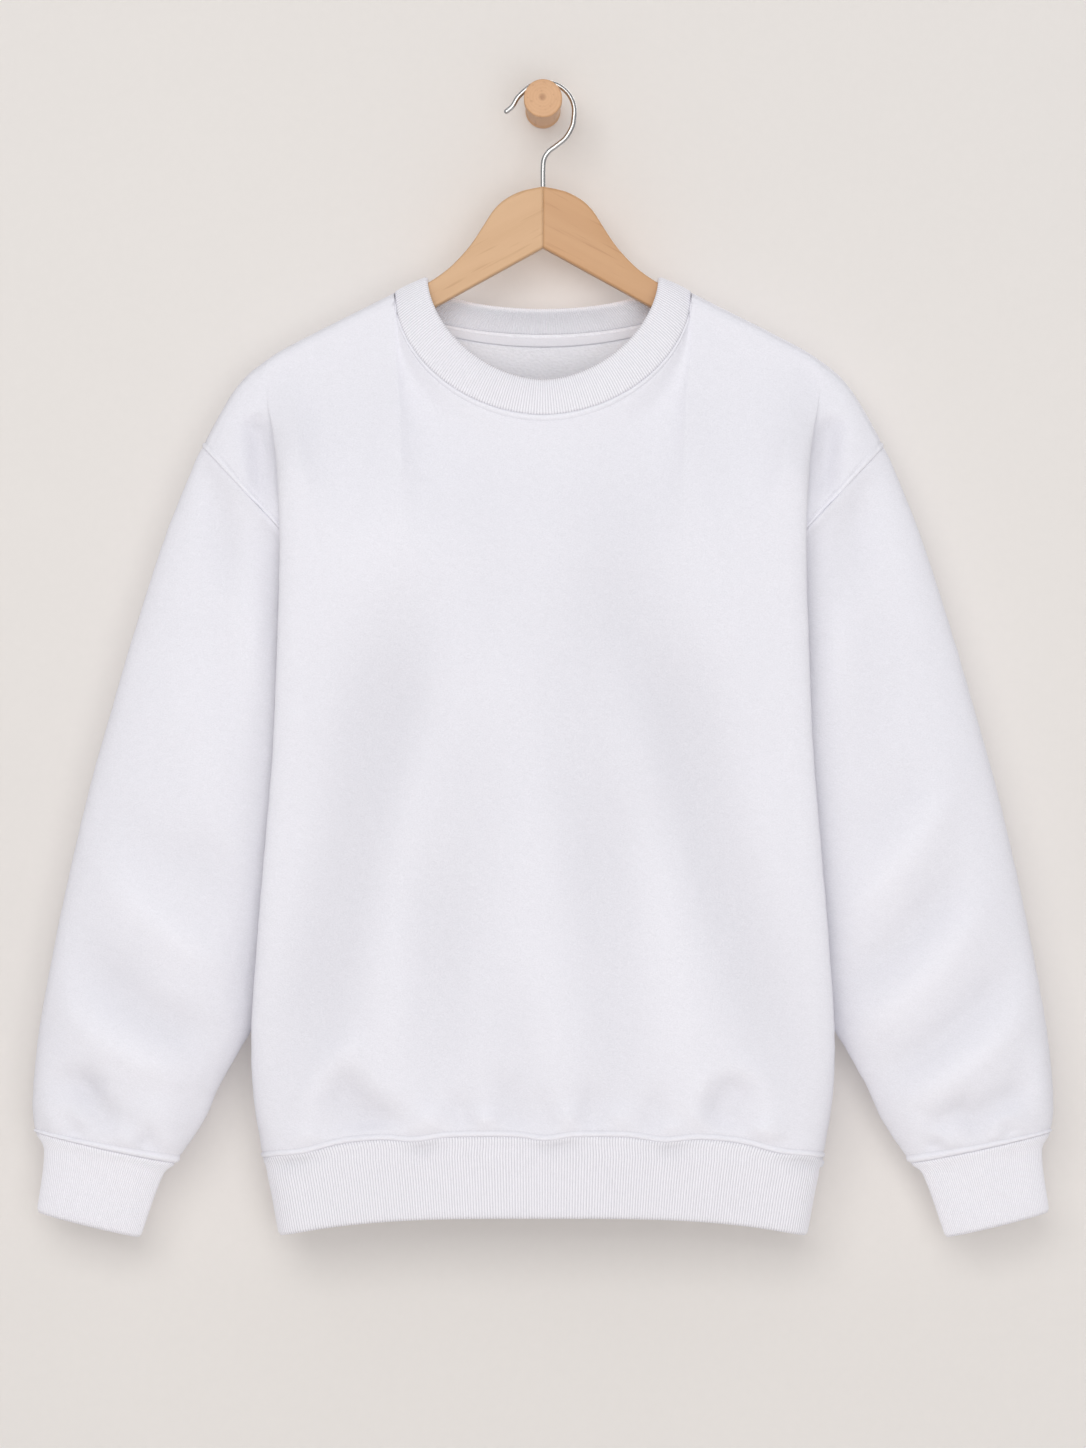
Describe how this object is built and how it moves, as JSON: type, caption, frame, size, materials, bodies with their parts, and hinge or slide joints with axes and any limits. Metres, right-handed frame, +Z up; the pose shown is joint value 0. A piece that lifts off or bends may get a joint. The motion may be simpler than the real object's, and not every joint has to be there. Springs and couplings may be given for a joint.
{
  "type": "crewneck sweatshirt on a wooden hanger and wall peg",
  "caption": "Crewneck sweatshirt with ribbed neck, cuffs and hem, hung on a flat wooden hanger with a wire hook from a round wooden wall peg.",
  "frame": {"origin": "centre of the peg's flat round foot, on the wall", "axes": "+Y into the wall, +Z up, the garment's front faces -Y and the wearer's right side is at -X"},
  "size_m": [0.7752, 0.0951, 0.8797],
  "materials": {
    "fleece": "brushed cotton fleece, pale cool lavender white",
    "rib": "fine rib knit, pale cool lavender white",
    "tape": "plain herringbone cotton tape",
    "beech": "pale beech, thin satin lacquer",
    "steel": "polished round wire"
  },
  "bodies": {
    "root": {"front_panel": "fleece", "back_panel": "fleece", "sleeve_right": "fleece", "sleeve_left": "fleece", "cuff_right": "rib", "cuff_left": "rib", "hem_band": "rib", "neck_rib": "rib", "neck_tape": "tape", "hanger_arm_right": "beech", "hanger_arm_left": "beech", "hanger_hook": "steel", "wall_peg": "beech"}
  },
  "joints": []
}
